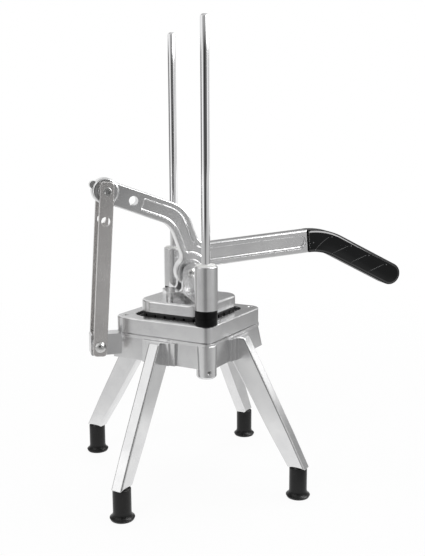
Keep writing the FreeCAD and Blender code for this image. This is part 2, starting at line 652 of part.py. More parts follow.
def pusher_head():
    pad_top = PLATE_TOP_Z + HEAD_PAD_HEIGHT
    corners = [(-HEAD_PAD_HALF_X, -EAR_OUTER_Y, HEAD_PAD_R), (HEAD_PAD_HALF_X, -EAR_OUTER_Y, HEAD_PAD_R),
               (HEAD_PAD_HALF_X, EAR_OUTER_Y, HEAD_PAD_R), (-HEAD_PAD_HALF_X, EAR_OUTER_Y, HEAD_PAD_R)]
    wire = outline(corners, lambda p: vec(p.x, p.y, PLATE_TOP_Z))
    head = Part.Face(wire).extrude(vec(0, 0, HEAD_PAD_HEIGHT))
    ears = []
    for y0 in (-EAR_OUTER_Y, EAR_INNER_Y):
        foot_half = EAR_R + EAR_FOOT_R
        ear_corners = [(-foot_half, PLATE_TOP_Z, 0), (foot_half, PLATE_TOP_Z, 0), (foot_half, pad_top, 0),
                       (EAR_R, pad_top, EAR_FOOT_R), (EAR_R, LEVER_PIVOT_Z, 0), (-EAR_R, LEVER_PIVOT_Z, 0),
                       (-EAR_R, pad_top, EAR_FOOT_R), (-foot_half, pad_top, 0)]
        ears += [side_slab(ear_corners, y0, y0 + EAR_THICKNESS),
                 pin(EAR_R, y0, y0 + EAR_THICKNESS, 0, LEVER_PIVOT_Z)]
    bosses = [post(HEAD_BOSS_R, PLATE_TOP_Z, HEAD_TOP_Z, 0, side * ROD_Y) for side in (-1, 1)]
    bosses = [b.makeFillet(HEAD_BOSS_EDGE_R, level_edges(b, HEAD_TOP_Z)) for b in bosses]
    head = head.fuse(ears + bosses + [head_arm(-1), head_arm(1)]).removeSplitter()
    for side in (-1, 1):
        head = head.cut(post(BUSH_R, PLATE_TOP_Z, HEAD_TOP_Z, 0, side * ROD_Y))
        head = head.cut(pad_screw(side))
    return head.cut(pin(PIVOT_R, -EAR_OUTER_Y, EAR_OUTER_Y, 0, LEVER_PIVOT_Z))


def head_bushing(side):
    bore = ROD_R + RUNNING_CLEARANCE
    profile = [(bore, PLATE_TOP_Z, 0), (BUSH_R, PLATE_TOP_Z, 0), (BUSH_R, HEAD_TOP_Z, 0),
               (BUSH_FLANGE_R, HEAD_TOP_Z, 0), (BUSH_FLANGE_R, HEAD_TOP_Z + BUSH_FLANGE, BUSH_FLANGE / 3),
               (bore, HEAD_TOP_Z + BUSH_FLANGE, 0)]
    return turned_profile(profile, 0, side * ROD_Y)


def pad_screw(side):
    """Screw from below, through finger block and pusher plate, into the head's pad."""
    x = side * PAD_SCREW_X
    head_top = PLATE_BOTTOM_Z
    shank = post(PAD_SCREW_R, head_top - PAD_SCREW_HEAD, PLATE_TOP_Z + PAD_SCREW_BITE, x, 0)
    head = post(PAD_SCREW_HEAD_R, head_top - FINGER_FLANGE - PAD_SCREW_HEAD / 2,
                head_top - FINGER_FLANGE / 2, x, 0)
    return shank.fuse(head)


def pusher_plate():
    plate = square_slab(PUSHER_HALF, PUSHER_CORNER_R, PUSHER_CORNER_R, PLATE_BOTTOM_Z, PLATE_TOP_Z)
    plate = plate.makeFillet(PUSHER_EDGE_R, level_edges(plate, PLATE_TOP_Z))
    for side in (-1, 1):
        plate = plate.cut(pad_screw(side))
    return plate


def finger_block():
    """Flange with one tapered finger for each cell of the blade grid."""
    top = PLATE_BOTTOM_Z
    flange_half = PUSHER_HALF - FINGER_FLANGE_INSET
    flange_z = top - FINGER_FLANGE
    tip_z = LOWER_BLADE_BOTTOM_Z - FINGER_BELOW_BLADES
    half = (CUT_SIZE - BLADE_THICKNESS) / 2 - FINGER_GAP
    fingers = []
    for i in range(CELLS):
        for j in range(CELLS):
            x = -GRID_HALF + (i + 0.5) * CUT_SIZE
            y = -GRID_HALF + (j + 0.5) * CUT_SIZE
            wires = []
            for z, h in ((flange_z, half), (tip_z, half - FINGER_TAPER)):
                points = [vec(x - h, y - h, z), vec(x + h, y - h, z), vec(x + h, y + h, z), vec(x - h, y + h, z)]
                wires.append(Part.makePolygon(points + [points[0]]))
            fingers.append(Part.makeLoft(wires, True, True))
    block = square_slab(flange_half, PUSHER_CORNER_R, PUSHER_CORNER_R, flange_z, top)
    inside = square_slab(flange_half, PUSHER_CORNER_R, PUSHER_CORNER_R, tip_z, top)
    block = block.fuse([diagonal(f).common(inside) for f in fingers])
    for side in (-1, 1):
        block = block.cut(pad_screw(side))
    return block


# Linkage


def link_slope():
    """Heading of the bars from the lower to the upper pivot."""
    return math.degrees(math.atan2(UPPER_PIVOT_Z - LOWER_PIVOT_Z, UPPER_PIVOT_X - LOWER_PIVOT_X))


def second_link_hole():
    return along((UPPER_PIVOT_X, UPPER_PIVOT_Z), link_slope(), -SECOND_HOLE_PITCH)


def second_lever_hole():
    return along((UPPER_PIVOT_X, UPPER_PIVOT_Z), ARM_SLOPE, SECOND_HOLE_PITCH)


def link_bar(side):
    slope = link_slope()
    half = LINK_WIDTH / 2
    length = math.hypot(UPPER_PIVOT_X - LOWER_PIVOT_X, UPPER_PIVOT_Z - LOWER_PIVOT_Z)
    low = (LOWER_PIVOT_X, LOWER_PIVOT_Z)
    ends = [along(low, slope, -LINK_OVERHANG, half), along(low, slope, -LINK_OVERHANG, -half),
            along(low, slope, length + LINK_OVERHANG, -half), along(low, slope, length + LINK_OVERHANG, half)]
    y0 = -LINK_OUTER_Y if side < 0 else LINK_INNER_Y
    bar = side_slab([(x, z, LINK_CORNER_R) for x, z in ends], y0, y0 + LINK_THICKNESS)
    outer_y = side * LINK_OUTER_Y
    bar = bar.makeFillet(LINK_EDGE_R, edges_in_plane(bar, outer_y))
    bar = bar.cut(pin(PIVOT_R + RUNNING_CLEARANCE, y0, y0 + LINK_THICKNESS, LOWER_PIVOT_X, LOWER_PIVOT_Z))
    bar = bar.cut(pin(PIVOT_R, y0, y0 + LINK_THICKNESS, UPPER_PIVOT_X, UPPER_PIVOT_Z))
    hole = second_link_hole()
    return bar.cut(pin(SECOND_HOLE_R, y0, y0 + LINK_THICKNESS, hole[0], hole[1]))


def domed_head(radius, height, y, side, x, z):
    """Low dome on a flat seat at y, bulging towards the given side along Y."""
    sphere_r = (radius * radius + height * height) / (2 * height)
    ball = Part.makeSphere(sphere_r, vec(x, y + side * (height - sphere_r), z))
    y0, y1 = sorted((y, y + side * height))
    return ball.common(pin(radius, y0, y1, x, z))


def lower_pivot_bolt():
    """Bolt fixed in the lug; both bars turn on it."""
    seat = LINK_OUTER_Y + SIDE_CLEARANCE
    shank = pin(PIVOT_R, -seat, seat, LOWER_PIVOT_X, LOWER_PIVOT_Z)
    shank = shank.fuse(pin(THREAD_R, seat, seat + NUT_HEIGHT, LOWER_PIVOT_X, LOWER_PIVOT_Z))
    return shank.fuse(domed_head(DOME_HEAD_R, DOME_HEAD, -seat, -1, LOWER_PIVOT_X, LOWER_PIVOT_Z))


def lower_pivot_nut():
    seat = LINK_OUTER_Y + SIDE_CLEARANCE
    nut = hexagon(NUT_R, seat, seat + NUT_HEIGHT, LOWER_PIVOT_X, LOWER_PIVOT_Z)
    return nut.cut(pin(THREAD_R, seat, seat + NUT_HEIGHT, LOWER_PIVOT_X, LOWER_PIVOT_Z))


def upper_pivot_screw():
    """Socket screw in the near bar; it ends flush with the bar's inner face."""
    head_y = -LINK_OUTER_Y - UPPER_HEAD
    screw = pin(PIVOT_R, -LINK_OUTER_Y, -LINK_INNER_Y, UPPER_PIVOT_X, UPPER_PIVOT_Z)
    head = pin(UPPER_HEAD_R, head_y, -LINK_OUTER_Y, UPPER_PIVOT_X, UPPER_PIVOT_Z)
    head = head.makeFillet(UPPER_HEAD / 2, edges_in_plane(head, head_y))
    key = hexagon(UPPER_KEY * FLATS_TO_CORNERS, head_y, head_y + LINK_THICKNESS / 2, UPPER_PIVOT_X, UPPER_PIVOT_Z)
    return screw.fuse(head).cut(key)


def upper_pivot_nut():
    """Round nut in the far bar, opposite the socket screw."""
    nut = pin(PIVOT_R, LINK_INNER_Y, LINK_OUTER_Y, UPPER_PIVOT_X, UPPER_PIVOT_Z)
    return nut.fuse(hexagon(NUT_R, LINK_OUTER_Y, LINK_OUTER_Y + NUT_HEIGHT, UPPER_PIVOT_X, UPPER_PIVOT_Z))


def lever_pivot_bolt():
    """Bolt through both ears and the lever's hub."""
    shank = pin(PIVOT_R, -EAR_OUTER_Y, EAR_OUTER_Y, 0, LEVER_PIVOT_Z)
    shank = shank.fuse(pin(THREAD_R, EAR_OUTER_Y, EAR_OUTER_Y + NUT_HEIGHT, 0, LEVER_PIVOT_Z))
    return shank.fuse(domed_head(LEVER_HEAD_R, LEVER_HEAD, -EAR_OUTER_Y, -1, 0, LEVER_PIVOT_Z))


def lever_pivot_nut():
    nut = hexagon(NUT_R, EAR_OUTER_Y, EAR_OUTER_Y + NUT_HEIGHT, 0, LEVER_PIVOT_Z)
    return nut.cut(pin(THREAD_R, EAR_OUTER_Y, EAR_OUTER_Y + NUT_HEIGHT, 0, LEVER_PIVOT_Z))


# Lever


def lever_lines():
    """Centre lines of arm, neck and handle, each a point and a heading."""
    arm = ((UPPER_PIVOT_X, UPPER_PIVOT_Z), ARM_SLOPE)
    bend = along(arm[0], ARM_SLOPE, NECK_REACH)
    neck = (bend, NECK_SLOPE)
    handle = ((0.0, LEVER_PIVOT_Z + HANDLE_RISE), HANDLE_SLOPE)
    return arm, neck, handle


def lever_band(inset, start, end_x):
    """Outline corners of the bent bar: inset narrows it, start is along the arm, end_x along X."""
    arm, neck, handle = lever_lines()
    arm_half, neck_half, handle_half = ARM_HALF - inset, NECK_HALF - inset, HANDLE_HALF - inset
    arm_top, arm_low = along(arm[0], ARM_SLOPE, start, arm_half), along(arm[0], ARM_SLOPE, start, -arm_half)
    neck_out, neck_in = along(neck[0], NECK_SLOPE, 0, neck_half), along(neck[0], NECK_SLOPE, 0, -neck_half)
    handle_top, handle_low = along(handle[0], HANDLE_SLOPE, 0, handle_half), along(handle[0], HANDLE_SLOPE, 0,
                                                                                  -handle_half)
    end = crossing(handle[0], HANDLE_SLOPE, (end_x, 0), 90)
    outer_bend = crossing(arm_top, ARM_SLOPE, neck_out, NECK_SLOPE)
    crotch = crossing(neck_out, NECK_SLOPE, handle_top, HANDLE_SLOPE)
    heel = crossing(neck_in, NECK_SLOPE, handle_low, HANDLE_SLOPE)
    inner_bend = crossing(arm_low, ARM_SLOPE, neck_in, NECK_SLOPE)
    end_top, end_low = along(end, HANDLE_SLOPE, 0, handle_half), along(end, HANDLE_SLOPE, 0, -handle_half)
    return [arm_top + (0,), outer_bend + (BEND_OUTER_R - inset,), crotch + (CROTCH_R + inset,), end_top + (0,),
            end_low + (0,), heel + (0,), inner_bend + (BEND_INNER_R + inset,), arm_low + (0,)]


def lever_pocket(side):
    """Shallow recess in one face, framed by the lever's rim."""
    y0 = -LEVER_HALF if side < 0 else LEVER_HALF - POCKET_DEPTH
    y1 = y0 + POCKET_DEPTH
    pocket = side_slab(lever_band(RIM, SECOND_HOLE_PITCH, POCKET_END_X), y0, y1)
    hole = second_lever_hole()
    pocket = pocket.cut(pin(POCKET_HOLE_R, y0, y1, hole[0], hole[1]))
    pocket = pocket.cut(pin(POCKET_HUB_R, y0, y1, 0, LEVER_PIVOT_Z))
    # what is left below the hub's ring is no part of the recess
    pocket = max(pocket.Solids, key=lambda solid: solid.Volume)
    upright = [e for e in pocket.Edges if abs(e.Length - POCKET_DEPTH) < FINE
               and abs(e.BoundBox.YLength - POCKET_DEPTH) < FINE and not smooth_edge(pocket, e)]
    grip_end = [e for e in upright if e.CenterOfMass.x > POCKET_END_X - POCKET_CORNER_R]
    others = [e for e in upright if e.CenterOfMass.x < POCKET_END_X - POCKET_CORNER_R]
    pocket = pocket.makeFillet(POCKET_CORNER_R, others)
    grip_end = [e for e in pocket.Edges if any((e.CenterOfMass - g.CenterOfMass).Length < FINE for g in grip_end)]
    pocket = pocket.makeFillet(POCKET_END_R, grip_end)
    return pocket.makeFillet(POCKET_FLOOR_R, edges_in_plane(pocket, side * (LEVER_HALF - POCKET_DEPTH)))


def smooth_edge(shape, edge):
    """Whether the two faces beside an upright edge meet without a corner."""
    normals = []
    for face in shape.Faces:
        if any(edge.isSame(other) for other in face.Edges):
            middle = edge.valueAt((edge.FirstParameter + edge.LastParameter) / 2)
            u, v = face.Surface.parameter(middle)
            normals.append(face.normalAt(u, v))
    return abs(normals[0].getAngle(normals[1])) < 0.05


def grip_path():
    """Centre line of the grip: a bend, then a straight, as points and headings."""
    handle = lever_lines()[2]
    start = crossing(handle[0], HANDLE_SLOPE, (GRIP_START_X, 0), 90)
    centre = along(start, HANDLE_SLOPE, 0, -GRIP_BEND_R)
    tail = HANDLE_SLOPE - GRIP_BEND
    bend_end = along(centre, tail, 0, GRIP_BEND_R)
    return start, centre, bend_end, tail


def in_plane(point):
    """Point of the lever's plane in space."""
    return vec(point[0], 0, point[1])


def grip_band(half, straight, tip_r):
    """Face of the grip or its tang in the lever's plane."""
    centre, bend_end, tail = grip_path()[1:]
    middle = HANDLE_SLOPE - GRIP_BEND / 2
    arcs = []
    for offset in (half, -half):
        points = [along(centre, angle, 0, GRIP_BEND_R + offset) for angle in (HANDLE_SLOPE, middle, tail)]
        arcs.append([in_plane(p) for p in points])
    top, low = arcs
    tip_top, tip_low = along(bend_end, tail, straight, half), along(bend_end, tail, straight, -half)
    top_line_end = along(tip_top, tail, -tip_r)
    low_line_end = along(tip_low, tail, -tip_r)
    diagonal_in = tip_r * (1 - 1 / SQRT2)
    edges = [Part.Arc(*top).toShape(), Part.LineSegment(top[2], in_plane(top_line_end)).toShape(),
             Part.Arc(in_plane(top_line_end), in_plane(along(tip_top, tail, -diagonal_in, -diagonal_in)),
                      in_plane(along(tip_top, tail, 0, -tip_r))).toShape(),
             Part.LineSegment(in_plane(along(tip_top, tail, 0, -tip_r)),
                              in_plane(along(tip_low, tail, 0, tip_r))).toShape(),
             Part.Arc(in_plane(along(tip_low, tail, 0, tip_r)),
                      in_plane(along(tip_low, tail, -diagonal_in, diagonal_in)), in_plane(low_line_end)).toShape(),
             Part.LineSegment(in_plane(low_line_end), low[2]).toShape(),
             Part.Arc(low[2], low[1], low[0]).toShape(),
             Part.LineSegment(low[0], top[0]).toShape()]
    return Part.Face(Part.Wire(edges))


def tang():
    face = grip_band(TANG_HALF, GRIP_STRAIGHT - TANG_SHORT, TANG_HALF / 2)
    face.translate(vec(0, -TANG_THICKNESS / 2, 0))
    return face.extrude(vec(0, TANG_THICKNESS, 0))


def link_hub():
    """Round disc a little proud of the arm, a boss between the bars and a nub on the lever's end."""
    disc = pin(LINK_HUB_R, -LINK_DISC_HALF, LINK_DISC_HALF, UPPER_PIVOT_X, UPPER_PIVOT_Z)
    disc = disc.makeFillet(LINK_HUB_EDGE_R, edges_in_plane(disc, -LINK_DISC_HALF)
                           + edges_in_plane(disc, LINK_DISC_HALF))
    boss = pin(LINK_BOSS_R, -LINK_BOSS_HALF, LINK_BOSS_HALF, UPPER_PIVOT_X, UPPER_PIVOT_Z)
    nub_x, nub_z = along((UPPER_PIVOT_X, UPPER_PIVOT_Z), NUB_SLOPE, NUB_REACH)
    return [disc, boss, pin(NUB_R, -NUB_THICKNESS / 2, NUB_THICKNESS / 2, nub_x, nub_z)]


def lever():
    body = side_slab(lever_band(0, 0, GRIP_START_X), -LEVER_HALF, LEVER_HALF)
    body = body.fuse([pin(ARM_HALF, -LEVER_HALF, LEVER_HALF, UPPER_PIVOT_X, UPPER_PIVOT_Z),
                      pin(HUB_R, -LEVER_HALF, LEVER_HALF, 0, LEVER_PIVOT_Z)]).removeSplitter()
    corners = [e for e in body.Edges if abs(e.BoundBox.YLength - LEVER_THICKNESS) < FINE
               and abs(math.hypot(e.CenterOfMass.x, e.CenterOfMass.z - LEVER_PIVOT_Z) - HUB_R) < 0.05
               and abs(e.Length - LEVER_THICKNESS) < FINE]
    body = body.makeFillet(HUB_BLEND_R, corners)
    for side in (-1, 1):
        body = body.makeFillet(LEVER_EDGE_R, edges_in_plane(body, side * LEVER_HALF))
        body = body.cut(lever_pocket(side))
    hub = pin(HUB_R - LEVER_EDGE_R, -HUB_HALF, HUB_HALF, 0, LEVER_PIVOT_Z)
    body = body.fuse([hub, tang()] + link_hub())
    body = body.cut(pin(LEVER_BUSH_R, -HUB_HALF, HUB_HALF, 0, LEVER_PIVOT_Z))
    body = body.cut(pin(LEVER_BUSH_R, -LINK_BOSS_HALF, LINK_BOSS_HALF, UPPER_PIVOT_X, UPPER_PIVOT_Z))
    hole = second_lever_hole()
    return body.cut(pin(SECOND_HOLE_R, -LEVER_HALF, LEVER_HALF, hole[0], hole[1])).removeSplitter()


def lever_bush(half, x, z):
    return pin(LEVER_BUSH_R, -half, half, x, z).cut(pin(PIVOT_R + RUNNING_CLEARANCE, -half, half, x, z))


def grip():
    face = grip_band(GRIP_HALF, GRIP_STRAIGHT, GRIP_TIP_R)
    face.translate(vec(0, -GRIP_THICKNESS / 2, 0))
    sleeve = face.extrude(vec(0, GRIP_THICKNESS, 0))
    start = grip_path()[0]
    near_start = vec(start[0], 0, start[1])
    rounded = []
    for y in (-GRIP_THICKNESS / 2, GRIP_THICKNESS / 2):
        for edge in edges_in_plane(sleeve, y):
            straight_at_start = abs(edge.Length - 2 * GRIP_HALF) < FINE
            flat = vec(edge.CenterOfMass.x, 0, edge.CenterOfMass.z)
            if not (straight_at_start and (flat - near_start).Length < GRIP_HALF):
                rounded.append(edge)
    return sleeve.makeFillet(GRIP_EDGE_R, rounded).cut(tang())


def all_pieces():
    """Every node's name and shape, in the body's own frame."""
    sides = (("front", -1), ("back", 1))
    corners = (("back_right", 0), ("back_left", 1), ("front_left", 2), ("front_right", 3))
    pieces = {"base_casting": base_casting(), "blade_frame": blade_frame(),
              "blades_upper": blade_layer(0, UPPER_BLADE_TOP_Z), "blades_lower": blade_layer(1, LOWER_BLADE_TOP_Z),
              "blade_pins": blade_pins(), "frame_screw_left": frame_screw(-1), "frame_screw_right": frame_screw(1)}
    bolts = []
    for name, turns in corners:
        pieces["leg_" + name] = leg(turns)
        pieces["rubber_foot_" + name] = rubber_foot(turns)
        bolts += [leg_bolt(turns, z) for z in leg_bolt_heights()]
    pieces["leg_bolts"] = Part.makeCompound(bolts)
    for name, side in sides:
        pieces["guide_rod_" + name] = guide_rod(side)
        pieces["rod_set_screw_" + name] = set_screw_body(side)
        pieces["bumper_" + name] = bumper(side)
        pieces["head_bushing_" + name] = head_bushing(side)
    pieces["pusher_head"] = pusher_head()
    pieces["pusher_plate"] = pusher_plate()
    pieces["finger_block"] = finger_block()
    pieces["pusher_screws"] = Part.makeCompound([pad_screw(-1), pad_screw(1)])
    pieces["lever_pivot_bolt"] = lever_pivot_bolt()
    pieces["lever_pivot_nut"] = lever_pivot_nut()
    pieces["link_bar_near"] = link_bar(-1)
    pieces["link_bar_far"] = link_bar(1)
    pieces["lower_pivot_bolt"] = lower_pivot_bolt()
    pieces["lower_pivot_nut"] = lower_pivot_nut()
    pieces["upper_pivot_screw"] = upper_pivot_screw()
    pieces["upper_pivot_nut"] = upper_pivot_nut()
    pieces["lever"] = lever()
    pieces["lever_hub_bush"] = lever_bush(HUB_HALF, 0, LEVER_PIVOT_Z)
    pieces["lever_link_bush"] = lever_bush(LINK_BOSS_HALF, UPPER_PIVOT_X, UPPER_PIVOT_Z)
    pieces["grip"] = grip()
    return pieces


def middle_x(pieces):
    """Halfway between the lug's end and the grip's tip, where the part's origin stands."""
    spans = [shape.BoundBox for shape in pieces.values()]
    return (min(span.XMin for span in spans) + max(span.XMax for span in spans)) / 2


os.makedirs("parts", exist_ok=True)
nodes = all_pieces()
shift = vec(-middle_x(nodes), 0, 0)
for node, shape in nodes.items():
    shape.translate(shift)
    shape.exportStep("parts/" + node + ".step")
print("moved along X by", round(shift.x, 4))
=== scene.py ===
import json
import math

import bmesh
import bpy
from mathutils import Matrix, Vector


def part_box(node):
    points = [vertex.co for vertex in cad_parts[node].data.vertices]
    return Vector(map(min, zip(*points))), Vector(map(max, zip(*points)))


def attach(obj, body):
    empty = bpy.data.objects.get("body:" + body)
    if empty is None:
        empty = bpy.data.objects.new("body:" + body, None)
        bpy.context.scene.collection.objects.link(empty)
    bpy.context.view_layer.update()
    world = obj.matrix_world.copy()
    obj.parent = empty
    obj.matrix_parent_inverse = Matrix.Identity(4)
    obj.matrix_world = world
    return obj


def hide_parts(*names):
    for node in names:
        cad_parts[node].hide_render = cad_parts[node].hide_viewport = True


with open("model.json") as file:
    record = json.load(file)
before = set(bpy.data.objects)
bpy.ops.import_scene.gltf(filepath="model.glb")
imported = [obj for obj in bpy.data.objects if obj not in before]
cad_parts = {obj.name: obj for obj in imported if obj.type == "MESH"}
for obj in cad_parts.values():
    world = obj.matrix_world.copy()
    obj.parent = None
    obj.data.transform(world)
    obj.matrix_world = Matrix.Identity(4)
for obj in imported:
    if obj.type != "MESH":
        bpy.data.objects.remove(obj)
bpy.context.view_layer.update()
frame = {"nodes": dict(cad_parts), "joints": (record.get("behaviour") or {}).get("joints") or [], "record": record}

# Lengths in metres, angles in degrees

# Camera: azimuth 0 looks along +Y
CAMERA_FROM_PIVOT = Vector((-0.218485, -0.895271, 0.153168))    # its place, from the lever's pivot
CAMERA_AZIMUTH = 15.425
CAMERA_DOWN = 9.965
CAMERA_ROLL = -0.268
CAMERA_LENS = 51.873         # millimetres, as the sensor's height
CAMERA_SENSOR = 36.0

# Rounds of the meshes made here
ROUND_STEPS = 72
EDGE_STEPS = 5
FLARE_STEPS = 10
BUMPER_EDGE_STEPS = 6
LOW_ROUND = (-90, 0)         # turn of an arc that rounds a low outer edge
HIGH_ROUND = (0, 90)
SMOOTH_ANGLE = 40.0          # edges sharper than this stay sharp
GRIP_SMOOTH_ANGLE = 25.0
MERGE_DISTANCE = 1e-7

# Rubber feet, heights from the floor
FOOT_TUBE_R = 0.0100
FOOT_TUBE_WALL = 0.0034
FOOT_TUBE_EDGE = 0.0010
FOOT_SEAT_DEPTH = 0.0020     # seat for the leg, below the tube's top
FOOT_FLANGE_R = 0.0136
FOOT_FLANGE_EDGE = 0.0005
FOOT_FLANGE_ROUND = (-40, 60)
FOOT_FLANGE_Z = 0.0025
FOOT_SOLE_R = 0.0129
FOOT_SOLE_EDGE = 0.0010
FOOT_SOLE_ROUND = (-90, -10)
FOOT_FLARE_R = 0.0070        # hollow curve from the flange up to the tube
FOOT_FLARE_ROUND = (239, 180)
FOOT_FLARE_TOP_Z = 0.0090

# Bumpers
BUMPER_BORE_R = 0.00485
BUMPER_EDGE = 0.0014
BUMPER_LINE = 0.0003         # depth and half height of the waist line

# Grip: it bends down along an arc, then runs straight to a round tip
GRIP_HALF = 0.0134           # half its height
GRIP_HALF_DEPTH = 0.0115
GRIP_BEND_R = 0.068
GRIP_BEND = 32.5
GRIP_STRAIGHT = 0.094
GRIP_START_X = 0.145         # from the lever's pivot
GRIP_START_RISE = 0.0302     # handle's centre line there, above the lever's pivot
HANDLE_SLOPE = 5.0
GRIP_PANEL_DEPTH = 0.0006
GRIP_SIDE = [(0.0, 0.0022), (0.0001, 0.0017), (0.0004, 0.0014), (0.0012, 0.0013), (0.0030, 0.0002),
             (0.0032, 0.0002), (0.0048, GRIP_PANEL_DEPTH)]   # drawn in from the outline, sunk below the face
GRIP_BEVEL = {0.0012, 0.0030}                # the two of those between which the edge is polished
GRIP_START_SHARE = 0.4       # share by which the open end is drawn in with the outline
GRIP_STATIONS = 44
GRIP_TIP_STEPS = 12
# index 1 is the ribs' and studs' lighter colour, which paints their highlights
PAINTED_GLINT_INDEX = 1               # order of the grip's materials, after its own
POLISHED_INDEX = 2

# Ribs and studs on the grip's panels
RIB_COUNT = 4
RIB_START = 0.0100           # first rib's low end, along the grip
RIB_PITCH = 0.0270
RIB_RUN = 0.0145             # how far a rib leans along the grip
RIB_LOW = -0.0098            # heights of a rib's ends on the panel
RIB_HIGH = 0.0068
RIB_R = 0.0005
RIB_TAPER = 0.35             # power of the sine that thins a rib towards its ends
RIB_END = 0.03               # share of a rib at each end that thins no further
RIB_AROUND = 10
RIB_STEPS = 12
STUD_R = 0.0010
STUD_PAST_RIB = 0.0030       # from a rib's high end, along the grip
LOW_STUD_COUNT = 2
LONE_STUD_BACK = 0.0040      # from the first rib's low end, against the run of the grip
LONE_STUD_RISE = -0.0020
STUD_SEGMENTS = 16
STUD_RINGS = 10

# Noises of the materials
NOISE_DETAIL = 4.0
GRAIN_DETAIL = 6.0           # of a metal's grain
NOISE_ROUGHNESS = 0.55
NOISE_LOW = 0.3              # most of a noise lies between these
NOISE_HIGH = 0.7
TINT_LOW = 0.32
TINT_HIGH = 0.68
METAL_CLOUDS = 45.0          # scale of the clouds between the two tones
MOULDED_CLOUDS = 60.0
EVEN = (1.0, 1.0, 1.0)
EDGE_SOFT = 0.0006           # radius that breaks a metal piece's edges
EDGE_SAMPLES = 6

METALS = {
    "cast_aluminium": {"tones": ((0.72, 0.72, 0.725), (0.79, 0.79, 0.79)), "roughness": (0.20, 0.25),
                       "grain": 700.0, "height": 0.000002},
    "chrome_rod": {"tones": ((0.84, 0.84, 0.85), (0.88, 0.88, 0.88)), "roughness": (0.05, 0.09),
                   "grain": 900.0, "height": 0.000001, "stretch": (1.0, 1.0, 6.0), "edge": 0.0},
    "blade_steel": {"tones": ((0.60, 0.60, 0.61), (0.70, 0.70, 0.70)), "roughness": (0.20, 0.34),
                    "grain": 700.0, "height": 0.00001, "stretch": (0.2, 0.2, 4.0)},
    "link_steel": {"tones": ((0.60, 0.585, 0.575), (0.66, 0.645, 0.635)), "roughness": (0.22, 0.28),
                   "grain": 500.0, "height": 0.000001, "stretch": (3.0, 3.0, 0.12), "metallic": 0.8},
    "fastener_steel": {"tones": ((0.52, 0.52, 0.52), (0.64, 0.64, 0.63)), "roughness": (0.18, 0.30),
                       "grain": 900.0, "height": 0.00002},
}

MOULDED = {
    "black_rubber": {"tones": ((0.005, 0.005, 0.005), (0.009, 0.009, 0.009)), "roughness": (0.26, 0.36),
                     "grain": 1200.0, "height": 0.00001, "shine": 0.28},
    "black_ring": {"tones": ((0.001, 0.001, 0.001), (0.0025, 0.0025, 0.0025)), "roughness": (0.18, 0.24),
                   "grain": 1200.0, "height": 0.000006, "shine": 0.15},
    "black_grip": {"tones": ((0.0015, 0.0018, 0.002), (0.003, 0.0036, 0.004)), "roughness": (0.12, 0.18),
                   "grain": 900.0, "height": 0.000004, "shine": 0.25},
    "polished_grip": {"tones": ((0.003, 0.0033, 0.0036), (0.006, 0.0065, 0.007)), "roughness": (0.10, 0.14),
                      "grain": 900.0, "height": 0.000002, "shine": 1.0},
    # lighter colour of the grip's ribs and studs: painted highlights in place of their glints
    "painted_glint_grip": {"tones": ((0.03, 0.031, 0.032), (0.07, 0.071, 0.072)), "roughness": (0.30, 0.40),
                  "grain": 900.0, "height": 0.000004, "shine": 0.5},
    "dark_plastic": {"tones": ((0.012, 0.012, 0.012), (0.022, 0.022, 0.022)), "roughness": (0.40, 0.50),
                     "grain": 900.0, "height": 0.00002, "shine": 0.5},
    "white_bush": {"tones": ((0.78, 0.78, 0.76), (0.86, 0.86, 0.85)), "roughness": (0.30, 0.40),
                   "grain": 700.0, "height": 0.00001, "shine": 0.5},
}

# World, floor and lamps
WHITE = (1.0, 1.0, 1.0, 1.0)
AMBIENT = 0.55               # level of the world's light on the object
FLOOR_HALF = 12.0
FLOOR_GREY = (0.9, 0.9, 0.9, 1.0)
FLOOR_ROUGHNESS = 0.9
FLOOR_GLOW = 0.94            # share of plain white in the floor near the object
FLOOR_NEAR = 0.25            # from this distance the share grows, up to all of it
FLOOR_FAR = 1.10
LAMPS = {
    "key": {"place": (-1.3, -1.1, 1.5), "size": (0.7, 0.7), "power": 9.0},
    "top": {"place": (0.2, 0.4, 1.9), "size": (0.8, 0.8), "power": 9.0},
    "fill": {"place": (1.5, -0.9, 0.9), "size": (0.7, 0.9), "power": 3.0},
}

# Card round the object that shows only in reflections: it lies on the floor, stands up and closes in a lid
RING_STEPS = 90
RING_R = 0.75
RING_SKIRT_R = 0.24          # inner edge of the lying card
RING_LID_R = 0.01            # hole in the lid
RING_STRENGTH = 8.0          # level of the brightest card
RING_SKIRT_Z = 0.0015        # the first of each pair of heights ends one band, the second starts the next
RING_SKIRT_TOP_Z = 0.02
RING_LOW_Z = 0.19
RING_HIGH_Z = 0.25
RING_TALL_LOW_Z = 0.32
RING_TALL_Z = 0.35
RING_FADE_Z = 0.565
RING_TOP_Z = 0.605
RING_LID_FADE_Z = 1.08
RING_LID_Z = 1.15

# Grey levels of the card's bands by azimuth, from +Y towards +X
RING_FLOOR = [(0, 0.9), (30, 0.6), (60, 0.60), (92, 0.62), (121, 0.66), (158, 0.46), (184, 0.36), (196, 0.36),
              (216, 0.45), (232, 0.75), (262, 0.78), (290, 0.8), (350, 0.9)]
RING_LOW = [(0, 0.8), (14, 0.5), (30, 0.25), (46, 0.25), (60, 0.35), (92, 0.36), (106, 0.42), (121, 0.50),
            (146, 0.54), (158, 0.52), (170, 0.52), (187, 0.48), (194, 0.24), (214, 0.24), (222, 0.42),
            (240, 0.50), (262, 0.50), (290, 0.6), (322, 0.6), (334, 0.90), (350, 0.90)]
RING_HIGH = [(0, 0.8), (14, 0.5), (30, 0.25), (46, 0.28), (56, 1.5), (86, 1.5), (94, 0.45), (118, 0.40),
             (124, 0.90), (144, 0.90), (152, 0.44), (170, 0.37), (184, 0.37), (189, 0.05), (218, 0.03),
             (222, 0.34), (240, 0.42), (246, 1.0), (252, 1.5), (268, 1.5), (274, 0.28), (326, 0.28),
             (336, 0.90), (350, 0.90)]
